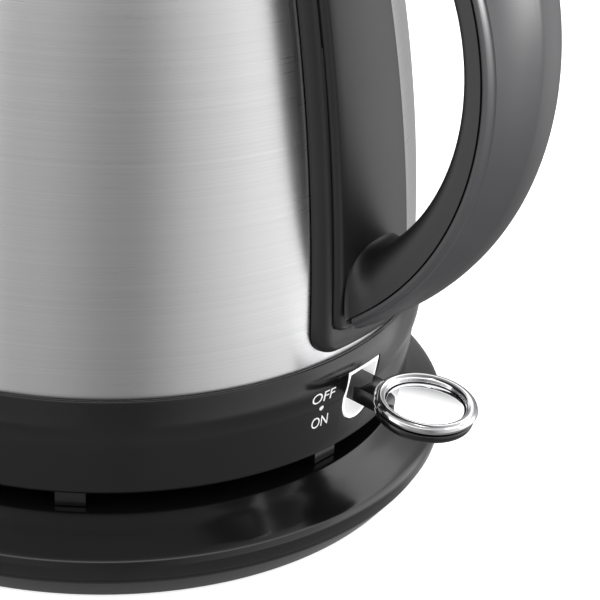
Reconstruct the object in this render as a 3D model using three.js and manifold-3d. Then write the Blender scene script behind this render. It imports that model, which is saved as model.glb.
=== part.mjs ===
// Cordless electric kettle with its power base.
// Millimetres, +Z up. The origin is on the kettle's axis at table height.
// The handle points to +X and the spout to -X.
import * as THREE from 'three';
import { mergeVertices } from 'three/addons/utils/BufferGeometryUtils.js';
import Module from 'manifold-3d';

const wasm = await Module();
wasm.setup();

// ---- driving dimensions ----
const touch = 0.3; // gap between pieces that rest on each other
const slip = 0.5; // gap round a piece that slides or turns
const overrun = 4; // how far a cutting tool runs past the face it cuts
const ease = { fine: 0.5, wide: 1 }; // breaks on sharp edges
const rounds = { large: 40, small: 20, pin: 8 }; // facets round a full turn

const base = {
  ledgeTop: 20.2, ledgeIn: 1.6, breakOut: 2.5, breakTop: 18.5, rimOut: 9.6, rimTop: 13.9,
  sideOut: 8.8, seam: 8.9, skirtOut: 1.2, underside: 0.8, wall: 2.2,
};
const ring = {
  gap: 4.9, height: 24.9, footIn: 1.3, wallLowIn: 0.3, wallHighOut: 0.9, wallTop: 11.5,
  bead: 2, beadHeight: 4, innerIn: 3, ledgeDrop: 4.4,
};
const body = { radius: 76, curve: 390, top: 196, wall: 0.8, lift: 1.6 };
const boss = {
  radius: 18.5, rise: 14.8, flange: 5.5, flangeDepth: 4, slotIn: 8.9, slotOut: 12.3, slotDepth: 16,
    hole: 2.4,
};
const foot = { radius: 6.5, orbit: 64, count: 4, first: 45, pocket: 1.2 };
const screw = {
  head: 3, headDepth: 0.9, shank: 1.5, post: 4, length: 9, count: 3,
  baseOrbit: 48, baseFirst: 60, plateOrbit: 60, plateFirst: 30,
};
const inlet = { width: 16, height: 7, depth: 10, bore: 3.4 };
const plate = { thick: 2, lift: 0.9, tabs: 7, tabFirst: -5, tabWidth: 7, tabDepth: 3, tabIn: 0.6 };
const socket = { wall: 2.3, clearance: 1.7, headroom: 1.5, roof: 2.5, flange: 4, flangeThick: 2 };
const contact = { ringThick: 1.2, ringDip: 10, pin: 1.7, pinDip: 12.5 };
const shutter = { thick: 3.2, drop: 0.6 };
const control = { radius: 24, step: 3, rim: 2 };
const floorPan = { thick: 1, lip: 5 };
const heater = { plate: 45, plateThick: 3, orbit: 36, tube: 3.2, sweep: 300 };
const bimetal = { radius: 8, thick: 0.6 };
const steamTube = { bore: 3.2, wall: 1, startIn: 14, endIn: 4.4, below: 2, stop: 12 };
const slot = { width: 12.9, below: 11 };
const liner = { wall: 0.9, depth: 10, below: 5.9, above: 1.7 };
const lever = {
  pivotIn: 17, pivotDrop: 4.3, tilt: 6.5, half: 3.9, thick: 4.2, tail: 8, reach: 38.8, pin: 1.5, bore: 1.85,
};
const paddle = { radius: 11.6, low: 0.3, high: 2.4 };
const trim = { radius: 12.2, low: 2.7, high: 5.1, lip: 9.3, seat: 3.6, inset: 0.6 };
const bracket = { length: 12, cheek: 4, foot: 2.7, rise: 3.9 };
const collar = { below: 7, above: 12, mouthIn: 6.6, outer: 1.8, leg: 1.9, channelIn: 1.4, innerBelow: 3 };
const strip = { halfAngle: 12.7, rise: 2.6, corner: 5.5, proud: 3.4, floor: 1.5, topGap: 1.4 };
const spine = { halfAngle: 10.3, border: 6, topBorder: 2.6, corner: 3, proud: 4.7 };
const grip = {
  half: 11, wall: 2.4, split: 0.3, round: 3, crown: 6.2, flank: 2, start: -76, end: 86, stations: 20,
};
const handleScrew = { rise: 7.4, fromCollar: 7, head: 3, headDepth: 1.4, shank: 1.6 };
const lid = {
  rimIn: 1.6, rise: 7.8, wall: 2.2, edge: 3.2, gap: 0.4, panGap: 1.1, panTaper: 3.4, panDepth: 9.4,
  panWall: 1.4,
};
const seal = { gap: 0.4, low: 5, high: 3 };
const hinge = {
  in: 1, rise: 1.6, pin: 1.5, bore: 1.85, half: 7, ear: 3.6, reach: 4.4, earRise: 3.4, arm: 2.9,
  root: 3, swing: 2,
};
const latch = { nose: 0.6, tail: 4.4, half: 3, rise: 1.4, thick: 2.6, travel: 2.5 };
const button = { depth: 6, above: 7.6, out: 11.28, length: 11, half: 5, dome: 1, round: 1.6 };
const spring = { radius: 3.4, wire: 0.45, turns: 4, length: 11.6 };
const spout = { below: 48, drop: 5, reach: 36.4, tip: 5, wall: 1, halfLow: 9, halfHigh: 28, levels: 7 };
const port = { half: 13, below: 36, above: 10 };
const filter = { inset: 1.2, thick: 1.2, half: 16, margin: 2.5, slots: 6, slotWidth: 2 };

// ---- levels and radii that follow from them ----
const ringLow = base.ledgeTop + ring.gap;
const shoulder = ringLow + ring.height; // where the steel meets the top of the ring
const ringInner = body.radius - ring.innerIn;
const ringLedge = shoulder - ring.ledgeDrop;
const beadRadius = body.radius + ring.bead;
const bodyLow = ringLedge + body.lift;
const neck = bodyRadius(body.top);
const bossTop = base.ledgeTop + boss.rise;
const plateLow = ringLow + plate.lift;
const plateHigh = plateLow + plate.thick;
const socketInner = boss.radius + socket.clearance;
const socketOuter = socketInner + socket.wall;
const socketRoof = bossTop + socket.headroom;
const pivot = { x: ringInner - lever.pivotIn, z: ringLedge - lever.pivotDrop };
const bracketTop = pivot.z + bracket.rise;
const steamStart = body.radius - steamTube.startIn;
const collarLow = body.top - collar.below;
const collarTop = body.top + collar.above;
const collarOuter = bodyRadius(collarLow) + touch + collar.leg;
const mouth = neck - collar.mouthIn;
const stripSpan = { low: shoulder + strip.rise, high: collarLow - strip.topGap };
const spineSpan = { low: stripSpan.low + spine.border, high: stripSpan.high - spine.topBorder };
const hingeX = neck - hinge.in;
const hingeZ = collarTop + hinge.rise;
const buttonLow = body.top - button.depth;
const buttonX = bodyRadius(buttonLow - spring.length) + button.out;
const latchSpan = { low: body.top + latch.rise, high: body.top + latch.rise + latch.thick };

// Side view of the handle: circles that follow the span between the strip's foot and the collar's top.
const halfSpan = (collarTop - stripSpan.low) / 2;
const handleMiddle = stripSpan.low + halfSpan;
const handleCircle = (inward, drop, grow) => ({
  at: [body.radius - inward, handleMiddle - drop], radius: halfSpan + grow,
});
const handleHub = [body.radius - 31, handleMiddle - 7.8];
const handleInner = handleCircle(26, 9.3, -22.7);
const handleJoint = handleCircle(36.3, 11.3, -7.7);
const handleCrease = handleCircle(31.4, 12.3, -8.7);
const handleBack = handleCircle(34.5, 5.8, 2.3);

// ---- materials ----
const finish = (color, roughness, metalness) => new THREE.MeshStandardMaterial({
  color, roughness, metalness,
});
const material = {
  steel: finish(0xb9b9b7, 0.35, 1),
  innerSteel: finish(0xc4c4c2, 0.25, 1),
  glossPlastic: finish(0x2b2b2d, 0.18, 0),
  satinPlastic: finish(0x333336, 0.4, 0),
  darkPlastic: finish(0x1c1c1e, 0.55, 0),
  linerPlastic: finish(0xdcdcda, 0.45, 0),
  chrome: finish(0xe6e6e8, 0.06, 1),
  mirror: finish(0xf2f2f4, 0.03, 1),
  rubber: finish(0x242424, 0.85, 0),
  silicone: finish(0xc9c9c4, 0.6, 0),
  aluminium: finish(0xa9adb0, 0.4, 1),
  brass: finish(0xb08d4c, 0.35, 1),
  springSteel: finish(0x8d9094, 0.3, 1),
};

// ---- shape helpers ----
const degrees = THREE.MathUtils.degToRad;
const cosine = (angle) => Math.cos(degrees(angle));
const sine = (angle) => Math.sin(degrees(angle));
const spread = (count) => Array.from({ length: count + 1 }, (_, i) => i / count);

function toSolid(geometry) {
  const bare = geometry.clone();
  bare.deleteAttribute('normal');
  bare.deleteAttribute('uv');
  const merged = mergeVertices(bare, 1e-4);
  const place = merged.getAttribute('position').array;
  const corners = [];
  let volume = 0;
  for (let i = 0; i < merged.index.count; i += 3) {
    const [a, b, c] = [0, 1, 2].map((k) => merged.index.getX(i + k));
    if (a === b || b === c || c === a) continue;
    corners.push(a, b, c);
    const [p, q, r] = [a, b, c].map((k) => new THREE.Vector3().fromArray(place, k * 3));
    volume += p.dot(q.cross(r));
  }
  if (volume < 0) corners.reverse();
  const shape = new wasm.Mesh({
    numProp: 3, vertProperties: new Float32Array(place), triVerts: new Uint32Array(corners),
  });
  return new wasm.Manifold(shape);
}

// A solid of revolution about the kettle's axis, from [radius, height] points that close on themselves.
function revolve(outline, facets = rounds.large) {
  const points = outline.map(([radius, height]) => new THREE.Vector2(Math.max(radius, 0), height));
  if (outline[0][0] > 0 || outline[outline.length - 1][0] > 0) points.push(points[0].clone());
  return toSolid(new THREE.LatheGeometry(points, facets).rotateX(Math.PI / 2));
}

function disc(radius, low, high, facets = rounds.small) {
  return revolve([[0, low], [radius, low], [radius, high], [0, high]], facets);
}

function tubeRing(inner, outer, low, high, facets = rounds.large) {
  return revolve([[inner, low], [outer, low], [outer, high], [inner, high]], facets);
}

function box(x0, x1, y0, y1, z0, z1) {
  const block = new THREE.BoxGeometry(x1 - x0, y1 - y0, z1 - z0);
  return toSolid(block.translate((x0 + x1) / 2, (y0 + y1) / 2, (z0 + z1) / 2));
}

function rodAlongY(radius, half, x, z) {
  const rod = new THREE.CylinderGeometry(radius, radius, 2 * half, rounds.pin);
  return toSolid(rod.translate(x, 0, z));
}

function rodAlongX(radius, x0, x1, z) {
  const rod = new THREE.CylinderGeometry(radius, radius, x1 - x0, rounds.pin).rotateZ(Math.PI / 2);
  return toSolid(rod.translate((x0 + x1) / 2, 0, z));
}

// A prism whose outline is drawn in the Y-Z plane and runs from x0 to x1.
function prismAlongX(outline, x0, x1) {
  const shape = new THREE.Shape(outline.map(([y, z]) => new THREE.Vector2(y, z)));
  const block = new THREE.ExtrudeGeometry(shape, { depth: x1 - x0, bevelEnabled: false });
  const turn = new THREE.Matrix4().makeBasis(
    new THREE.Vector3(0, 1, 0), new THREE.Vector3(0, 0, 1), new THREE.Vector3(1, 0, 0),
  );
  return toSolid(block.applyMatrix4(turn).translate(x0, 0, 0));
}

// A prism with vertical sides whose outline is drawn in the X-Y plane.
function prismAlongZ(outline, low, high) {
  const shape = new THREE.Shape(outline.map(([x, y]) => new THREE.Vector2(x, y)));
  const block = new THREE.ExtrudeGeometry(shape, { depth: high - low, bevelEnabled: false });
  return toSolid(block.translate(0, 0, low));
}

function arc(x, y, radius, from, to, count) {
  return spread(count).map((t) => {
    const angle = from + t * (to - from);
    return [x + radius * cosine(angle), y + radius * sine(angle)];
  });
}

function roundedBox(x0, x1, y0, y1, radius) {
  const corners = [[x1 - radius, y1 - radius, 0], [x0 + radius, y1 - radius, 90],
    [x0 + radius, y0 + radius, 180], [x1 - radius, y0 + radius, 270]];
  return corners.flatMap(([x, y, from]) => arc(x, y, radius, from, from + 90, 4));
}

// Runs a round section, with a bore if one is given, along a curve.
function sweepAlong(curve, outline, steps, bore = null) {
  const shape = new THREE.Shape(outline.map(([x, y]) => new THREE.Vector2(x, y)));
  if (bore) shape.holes.push(new THREE.Path(bore.map(([x, y]) => new THREE.Vector2(x, y))));
  return toSolid(new THREE.ExtrudeGeometry(shape, { steps, extrudePath: curve, bevelEnabled: false }));
}

// Skins a row of outlines, all with the same number of points, and closes both ends.
function closeLoft(sections, flatOutline) {
  const size = sections[0].length;
  const corners = [];
  for (let i = 0; i + 1 < sections.length; i++) {
    for (let k = 0; k < size; k++) {
      const next = (k + 1) % size;
      const [a, b] = [i * size + k, i * size + next];
      corners.push(a, b, b + size, a, b + size, a + size);
    }
  }
  const last = (sections.length - 1) * size;
  const outline = flatOutline.map(([x, y]) => new THREE.Vector2(x, y));
  const faces = THREE.ShapeUtils.triangulateShape(outline, []);
  const clockwise = THREE.ShapeUtils.isClockWise(outline);
  for (const [a, b, c] of faces) {
    if (clockwise) corners.push(a, b, c, last + a, last + c, last + b);
    else corners.push(a, c, b, last + a, last + b, last + c);
  }
  const geometry = new THREE.BufferGeometry();
  geometry.setAttribute('position', new THREE.Float32BufferAttribute(
    sections.flat().flatMap((point) => point.toArray()), 3,
  ));
  geometry.setIndex(corners);
  return toSolid(geometry);
}

const cutAll = (solid, tools) => tools.reduce((left, tool) => left.subtract(tool), solid);
const joinAll = (solids) => solids.reduce((left, right) => left.add(right));

function toGeometry(solid) {
  const { vertProperties, triVerts } = solid.getMesh();
  const geometry = new THREE.BufferGeometry();
  geometry.setAttribute('position', new THREE.Float32BufferAttribute(vertProperties, 3));
  geometry.setIndex([...triVerts]);
  geometry.computeVertexNormals();
  return geometry;
}

const kettle = new THREE.Group();

function addPiece(name, solid, look, parent = kettle) {
  const mesh = new THREE.Mesh(toGeometry(solid), look);
  mesh.name = name;
  parent.add(mesh);
}

// Places copies of a solid made at +X round the kettle's axis.
function around(count, first, solid) {
  return Array.from({ length: count }, (_, i) => solid.rotate([0, 0, first + (i * 360) / count]));
}

// ---- body shell: upright at the shoulder, then one long curve inward ----
function bodyRadius(height) {
  const rise = Math.max(height - shoulder, 0);
  return body.radius - (body.curve - Math.sqrt(body.curve ** 2 - rise ** 2));
}

const bodyRise = (low, high, offset, count = 6) => spread(count).map((t) => {
  const height = low + t * (high - low);
  return [bodyRadius(height) + offset, height];
});

function bodySkin(low, high, inside, outside) {
  return revolve([...bodyRise(low, high, outside), ...bodyRise(low, high, inside).reverse()]);
}

// Everything within a given offset of the body's outer face, used to trim what meets it.
function bodyEnvelope(offset, low = 0, high = body.top + overrun) {
  return revolve([[0, low], ...bodyRise(low, high, offset, 10), [0, high]]);
}

// A tapered panel outline on the handle side, as wide as an angle seen from the axis.
function panelPrism(span, halfAngle, corner) {
  const half = (height) => (bodyRadius(height) + strip.proud) * sine(halfAngle);
  const side = spread(5).map((t) => {
    const height = span.low + corner + t * (span.high - span.low - corner);
    return [half(height), height];
  });
  const turn = arc(half(span.low) - corner, span.low + corner, corner, -90, -15, 5);
  const right = [...turn, ...side];
  const left = right.map(([y, z]) => [-y, z]).reverse();
  return prismAlongX([...right, ...left], neck / 2, body.radius + spine.proud + overrun);
}

// ---- power base ----
function addBase() {
  const roof = base.ledgeTop - base.wall;
  const holeRadius = boss.radius + slip;
  const bottomInside = base.underside + base.wall;
  const [ledge, slope] = [body.radius - base.ledgeIn, body.radius + base.breakOut];
  const [rim, side, skirt] = [base.rimOut, base.sideOut, base.skirtOut].map((out) => body.radius + out);
  const topShell = revolve([
    [holeRadius, base.ledgeTop], [ledge - 1, base.ledgeTop], [ledge, base.ledgeTop - 0.3],
    [slope, base.breakTop], [rim - 1.6, base.rimTop + 0.8], [rim - 0.5, base.rimTop],
    [rim, base.rimTop - 1.2], [side, base.seam], [side - base.wall, base.seam],
    [side - base.wall, base.rimTop - 2], [slope - 1, base.breakTop - base.wall - 0.4],
    [ledge - 1.4, roof], [holeRadius, roof],
  ]);
  const post = disc(screw.post, bottomInside + touch, roof + base.wall / 2, rounds.pin)
    .translate([screw.baseOrbit, 0, 0]);
  const pilot = disc(screw.shank + touch, 0, roof - base.wall, rounds.pin)
    .translate([screw.baseOrbit, 0, 0]);
  const inletIn = rim - inlet.depth;
  const notch = box(-inlet.width / 2 - touch, inlet.width / 2 + touch, inletIn - overrun, rim + overrun,
    bottomInside, bottomInside + inlet.height + touch);
  const top = cutAll(joinAll([topShell, ...around(screw.count, screw.baseFirst, post)]),
    [...around(screw.count, screw.baseFirst, pilot), notch]);
  addPiece('base_top_cover', top, material.glossPlastic);

  const tray = revolve([
    [0, base.underside], [skirt - ease.fine, base.underside], [skirt, base.underside + ease.fine],
    [side - 0.5, base.seam - 1.2], [side - 0.5, base.seam - touch], [side - base.wall, base.seam - touch],
    [skirt - base.wall, bottomInside], [0, bottomInside],
  ]);
  const pocket = disc(foot.radius + touch, 0, base.underside + foot.pocket).translate([foot.orbit, 0, 0]);
  const headSeat = base.underside + screw.headDepth + touch;
  const screwHole = joinAll([
    disc(screw.head + touch, 0, headSeat, rounds.pin),
    disc(screw.shank + touch, 0, bottomInside + overrun, rounds.pin),
  ]).translate([screw.baseOrbit, 0, 0]);
  const holes = [...around(foot.count, foot.first, pocket), ...around(screw.count, screw.baseFirst,
    screwHole)];
  const bottom = cutAll(tray, [...holes, notch]);
  addPiece('base_bottom_cover', bottom, material.darkPlastic);

  const padTop = base.underside + foot.pocket - touch;
  const pad = revolve([[0, 0], [foot.radius - ease.fine, 0], [foot.radius, ease.fine],
    [foot.radius, padTop], [0, padTop]],
    rounds.small).translate([foot.orbit, 0, 0]);
  around(foot.count, foot.first, pad).forEach((solid, i) => {
    addPiece(`base_foot_${i + 1}`, solid, material.rubber);
  });
  addScrews('base_screw', base.underside, screw.baseOrbit, screw.baseFirst);

  const block = box(-inlet.width / 2, inlet.width / 2, inletIn, side - 1, bottomInside + touch,
    bottomInside + inlet.height);
  const wayIn = new THREE.CylinderGeometry(inlet.bore, inlet.bore, 2 * inlet.depth + overrun, rounds.small);
  const cordHole = toSolid(wayIn.translate(0, side, bottomInside + inlet.height / 2));
  addPiece('cord_inlet', block.subtract(cordHole), material.rubber);

  const [under, flange] = [roof - touch, boss.radius + boss.flange];
  const [slotFloor, bottomFace] = [bossTop - boss.slotDepth, roof - touch - boss.flangeDepth];
  const plug = revolve([
    [0, bottomFace], [flange, bottomFace], [flange, under], [boss.radius, under],
    [boss.radius, bossTop - ease.wide], [boss.radius - ease.wide, bossTop], [boss.slotOut, bossTop],
    [boss.slotOut, slotFloor],
    [boss.slotIn, slotFloor], [boss.slotIn, bossTop], [boss.hole, bossTop], [boss.hole, slotFloor],
    [0, slotFloor],
  ]);
  addPiece('base_connector', plug, material.darkPlastic);
}

// Pan-head screws that point up, with their heads recessed in the face at the given height.
function addScrews(name, face, orbit, first) {
  const head = face + touch;
  const solid = revolve([[0, head], [screw.head - ease.fine, head], [screw.head, head + touch],
    [screw.head, head + screw.headDepth - touch], [screw.shank, head + screw.headDepth - touch],
    [screw.shank, head + screw.length - ease.wide], [0, head + screw.length]], rounds.pin);
  around(screw.count, first, solid.translate([orbit, 0, 0])).forEach((copy, i) => {
    addPiece(`${name}_${i + 1}`, copy, material.springSteel);
  });
}

// ---- lower housing, underside and electrics ----
function slotOutline(shrink) {
  const half = slot.width / 2 - shrink;
  const centre = pivot.z - slot.below + slot.width / 2;
  const top = ringLedge - touch - shrink;
  return [...arc(0, centre, half, 180, 360, 10), [half, top], [-half, top]];
}

function addLowerHousing() {
  const inside = body.radius + touch;
  const bead = spread(4).map((t) => {
    const angle = -30 + 120 * t;
    return [inside + (beadRadius - inside) * cosine(angle), shoulder + ring.beadHeight * (sine(angle) - 1)];
  });
  const shell = revolve([
    [ringInner, ringLow], [body.radius - ring.footIn, ringLow],
    [body.radius - ring.wallLowIn, ringLow + 0.9],
    [body.radius + ring.wallHighOut, shoulder - ring.wallTop],
    [beadRadius - 0.5, shoulder - ring.wallTop + 1.5],
    ...bead, [inside, ringLedge], [ringInner, ringLedge],
  ]);
  const opening = prismAlongX(slotOutline(0), ringInner - overrun, beadRadius + overrun);
  addPiece('lower_housing', shell.subtract(opening), material.glossPlastic);

  const sealRing = tubeRing(ringInner + ease.wide, body.radius, ringLedge + touch, bodyLow - touch);
  addPiece('body_seal', sealRing, material.silicone);

  const [back, front] = [body.radius - liner.depth, body.radius];
  const outer = prismAlongX(slotOutline(touch), back, front);
  const hollow = prismAlongX(slotOutline(touch + liner.wall), back + liner.wall, front + overrun);
  const slit = box(back - overrun, back + liner.wall + touch, -lever.half - slip, lever.half + slip,
    pivot.z - liner.below, pivot.z + liner.above);
  addPiece('switch_liner', cutAll(outer, [hollow, slit]), material.linerPlastic);
}

function addUnderside() {
  const sheet = tubeRing(socketOuter + touch, ringInner - touch, plateLow, plateHigh);
  const tabOut = ringInner - plate.tabIn;
  const tab = box(tabOut - plate.tabDepth, tabOut, -plate.tabWidth / 2, plate.tabWidth / 2,
    base.ledgeTop + touch, plateLow + plate.thick / 2);
  const headSeat = plateLow + screw.headDepth + touch;
  const hole = joinAll([
    disc(screw.head + touch, 0, headSeat, rounds.pin),
    disc(screw.shank + touch, 0, plateHigh + overrun, rounds.pin),
  ]).translate([screw.plateOrbit, 0, 0]);
  const linerRoom = prismAlongX(slotOutline(0), body.radius - liner.depth - touch, body.radius + overrun);
  const plateSolid = cutAll(joinAll([sheet, ...around(plate.tabs, plate.tabFirst, tab)]),
    [...around(screw.count, screw.plateFirst, hole), linerRoom]);
  addPiece('underside_plate', plateSolid, material.darkPlastic);
  addScrews('underside_screw', plateLow, screw.plateOrbit, screw.plateFirst);
}

function addElectrics() {
  const flangeLow = plateHigh + touch;
  const flangeHigh = flangeLow + socket.flangeThick;
  const roofHigh = socketRoof + socket.roof;
  const cup = revolve([
    [socketInner, plateLow], [socketOuter, plateLow], [socketOuter, flangeLow],
    [socketOuter + socket.flange, flangeLow], [socketOuter + socket.flange, flangeHigh],
    [socketOuter, flangeHigh], [socketOuter, roofHigh], [0, roofHigh], [0, socketRoof],
    [socketInner, socketRoof],
  ]);
  addPiece('kettle_connector', cup, material.darkPlastic);
  const contactMid = (boss.slotIn + boss.slotOut) / 2;
  const contactLow = bossTop - contact.ringDip;
  addPiece('ring_contact', tubeRing(contactMid - contact.ringThick / 2, contactMid + contact.ringThick / 2,
    contactLow, socketRoof - touch, rounds.small), material.brass);
  const tipLow = bossTop - contact.pinDip;
  const pinShape = [[0, tipLow], [contact.pin / 2, tipLow], [contact.pin, tipLow + ease.wide],
    [contact.pin, socketRoof - touch], [0, socketRoof - touch]];
  addPiece('pin_contact', revolve(pinShape, rounds.pin), material.brass);
  const shutterTop = contactLow - shutter.drop;
  addPiece('connector_shutter', tubeRing(boss.slotIn + touch, boss.slotOut - touch,
    shutterTop - shutter.thick,
    shutterTop), material.satinPlastic);

  const plateTop = shoulder - touch;
  const slab = plateTop - heater.plateThick;
  const unitTop = slab - touch;
  const unit = joinAll([
    disc(control.radius, roofHigh + touch, unitTop - control.rim),
    disc(control.radius - control.step, roofHigh + touch, unitTop),
  ]);
  addPiece('control_unit', unit, material.darkPlastic);
  addPiece('heater_plate', revolve([[0, slab], [heater.plate - ease.wide, slab],
    [heater.plate, slab + ease.wide],
    [heater.plate, plateTop], [0, plateTop]]), material.aluminium);
  const middle = slab - touch - heater.tube;
  const loop = new THREE.CatmullRomCurve3(spread(28).map((t) => {
    const angle = 180 + (t - 0.5) * heater.sweep;
    return new THREE.Vector3(heater.orbit * cosine(angle), heater.orbit * sine(angle), middle);
  }));
  addPiece('heating_element', sweepAlong(loop, arc(0, 0, heater.tube, 0, 315, 7), 28), material.steel);
}

// ---- vessel ----
function addVessel() {
  const shell = bodySkin(bodyLow, body.top, -body.wall, 0);
  const [windowLow, windowHigh] = [body.top - port.below, body.top - port.above];
  const opening = box(-body.radius, -neck / 2, -port.half, port.half, windowLow, windowHigh);
  addPiece('steel_body', shell.subtract(opening), material.steel);

  const edge = body.radius - body.wall - touch;
  const top = shoulder + floorPan.thick;
  const pan = revolve([
    [0, shoulder], [edge - ease.wide, shoulder], [edge, shoulder + ease.wide], [edge, top + floorPan.lip],
    [edge - body.wall, top + floorPan.lip], [edge - body.wall, top + body.wall],
    [edge - 2 * body.wall, top], [0, top],
  ]);
  const tubeRadius = steamTube.bore + steamTube.wall;
  const tubeHole = disc(tubeRadius + touch, shoulder - overrun, top + overrun, rounds.small)
    .translate([steamStart, 0, 0]);
  addPiece('vessel_floor', pan.subtract(tubeHole), material.innerSteel);

  // The tube leans inward with the wall.
  const low = shoulder - steamTube.below;
  const high = body.top - steamTube.stop;
  const lean = (height) => steamStart - (body.radius - bodyRadius(height)) * (body.radius - steamTube.startIn
    - neck + steamTube.endIn) / (body.radius - bodyRadius(high));
  const route = new THREE.CatmullRomCurve3([0, 0.1, 0.3, 0.5, 0.75, 1].map((t) => {
    const height = low + t * (high - low);
    return new THREE.Vector3(lean(height), 0, height);
  }));
  const bore = arc(0, 0, steamTube.bore, 0, 315, 7);
  addPiece('steam_tube', sweepAlong(route, arc(0, 0, tubeRadius, 0, 315, 7), 12, bore),
    material.darkPlastic);

  const snapLow = bracketTop + touch;
  addPiece('bimetal_disc', disc(bimetal.radius, snapLow,
    snapLow + bimetal.thick).translate([steamStart, 0, 0]),
    material.brass);
}

// ---- switch ----
function addSwitch() {
  const length = bracket.length / 2;
  const gap = lever.half + slip;
  const half = gap + bracket.cheek;
  const footLow = plateHigh + touch;
  const cradle = box(pivot.x - length, pivot.x + length, -half, half, footLow, bracketTop);
  const channel = box(pivot.x - length - overrun, pivot.x + length + overrun, -gap, gap,
    footLow + bracket.foot, bracketTop + overrun);
  const pinHole = rodAlongY(lever.bore, half + overrun, pivot.x, pivot.z);
  addPiece('switch_bracket', cutAll(cradle, [channel, pinHole]), material.darkPlastic);
  addPiece('switch_pin', rodAlongY(lever.pin, half - touch, pivot.x, pivot.z), material.springSteel);

  const arm = new THREE.Group();
  arm.position.set(pivot.x, 0, pivot.z);
  arm.rotation.y = degrees(lever.tilt);
  kettle.add(arm);
  const bar = box(-lever.tail, lever.reach - paddle.radius / 2, -lever.half, lever.half,
    -lever.thick / 2, lever.thick / 2);
  const boreTool = rodAlongY(lever.bore, lever.half + overrun, 0, 0);
  const seat = revolve([[0, paddle.low - 1], [paddle.radius - 3, paddle.low - 1],
    [paddle.radius - 0.7, paddle.low],
    [paddle.radius, paddle.low + 0.8], [paddle.radius, paddle.high - 0.5],
    [paddle.radius - 0.5, paddle.high],
    [0, paddle.high]]).translate([lever.reach, 0, 0]);
  addPiece('switch_lever', bar.add(seat).subtract(boreTool), material.glossPlastic, arm);

  const middle = (trim.low + trim.high) / 2;
  const bulge = (trim.high - trim.low) / 2;
  const hoop = revolve([
    [trim.lip, trim.low], ...arc(trim.radius - bulge, middle, bulge, -90, 90, 5),
    [trim.lip + 0.9, trim.high - 0.1], [trim.lip, trim.seat + 0.3],
  ]).translate([lever.reach, 0, 0]);
  addPiece('switch_ring', hoop, material.chrome, arm);
  addPiece('switch_inset', disc(trim.lip - touch, trim.seat - trim.inset, trim.seat, rounds.large)
    .translate([lever.reach, 0, 0]), material.mirror, arm);
}

// ---- handle ----
// Distance from the handle's hub to a side-view circle, along a ray at the given angle.
function rayTo(circle, angle) {
  const [dx, dz] = [handleHub[0] - circle.at[0], handleHub[1] - circle.at[1]];
  const along = dx * cosine(angle) + dz * sine(angle);
  return -along + Math.sqrt(along ** 2 - (dx ** 2 + dz ** 2) + circle.radius ** 2);
}

// Sweeps a cross-section, given as [sideways, distance from the hub] points at each angle.
function sweepGrip(section) {
  const stations = spread(grip.stations).map((t) => grip.start + t * (grip.end - grip.start));
  const rings = stations.map((angle) => section(angle).map(([y, reach]) => new THREE.Vector3(
    handleHub[0] + reach * cosine(angle), y, handleHub[1] + reach * sine(angle),
  )));
  return closeLoft(rings, section(stations[0]));
}

const mirrorSection = (half) => [...half, ...half.slice().reverse().map(([y, reach]) => [-y, reach])];

function innerSection(angle) {
  const [face, joint] = [rayTo(handleInner, angle), rayTo(handleJoint, angle) - grip.split / 2];
  const inside = grip.half - grip.wall;
  const floor = Math.min(face + grip.wall, joint - touch);
  return mirrorSection([[grip.half - grip.round, face], [grip.half - 0.8, face + 1],
    [grip.half, face + grip.round], [grip.half, joint], [inside, joint], [inside, floor]]);
}

function coverSection(angle) {
  const joint = rayTo(handleJoint, angle) + grip.split / 2;
  const crease = Math.max(rayTo(handleCrease, angle), joint + grip.flank);
  const back = rayTo(handleBack, angle);
  const shoulder = (crease + back) / 2 + 1;
  const inside = grip.half - grip.wall;
  return mirrorSection([[grip.crown / 3, back - grip.wall], [grip.crown - 1, shoulder - grip.wall],
    [inside, crease - 1], [inside, joint], [grip.half, joint], [grip.half, crease], [grip.crown, shoulder],
    [grip.crown / 3, back]]);
}

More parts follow.
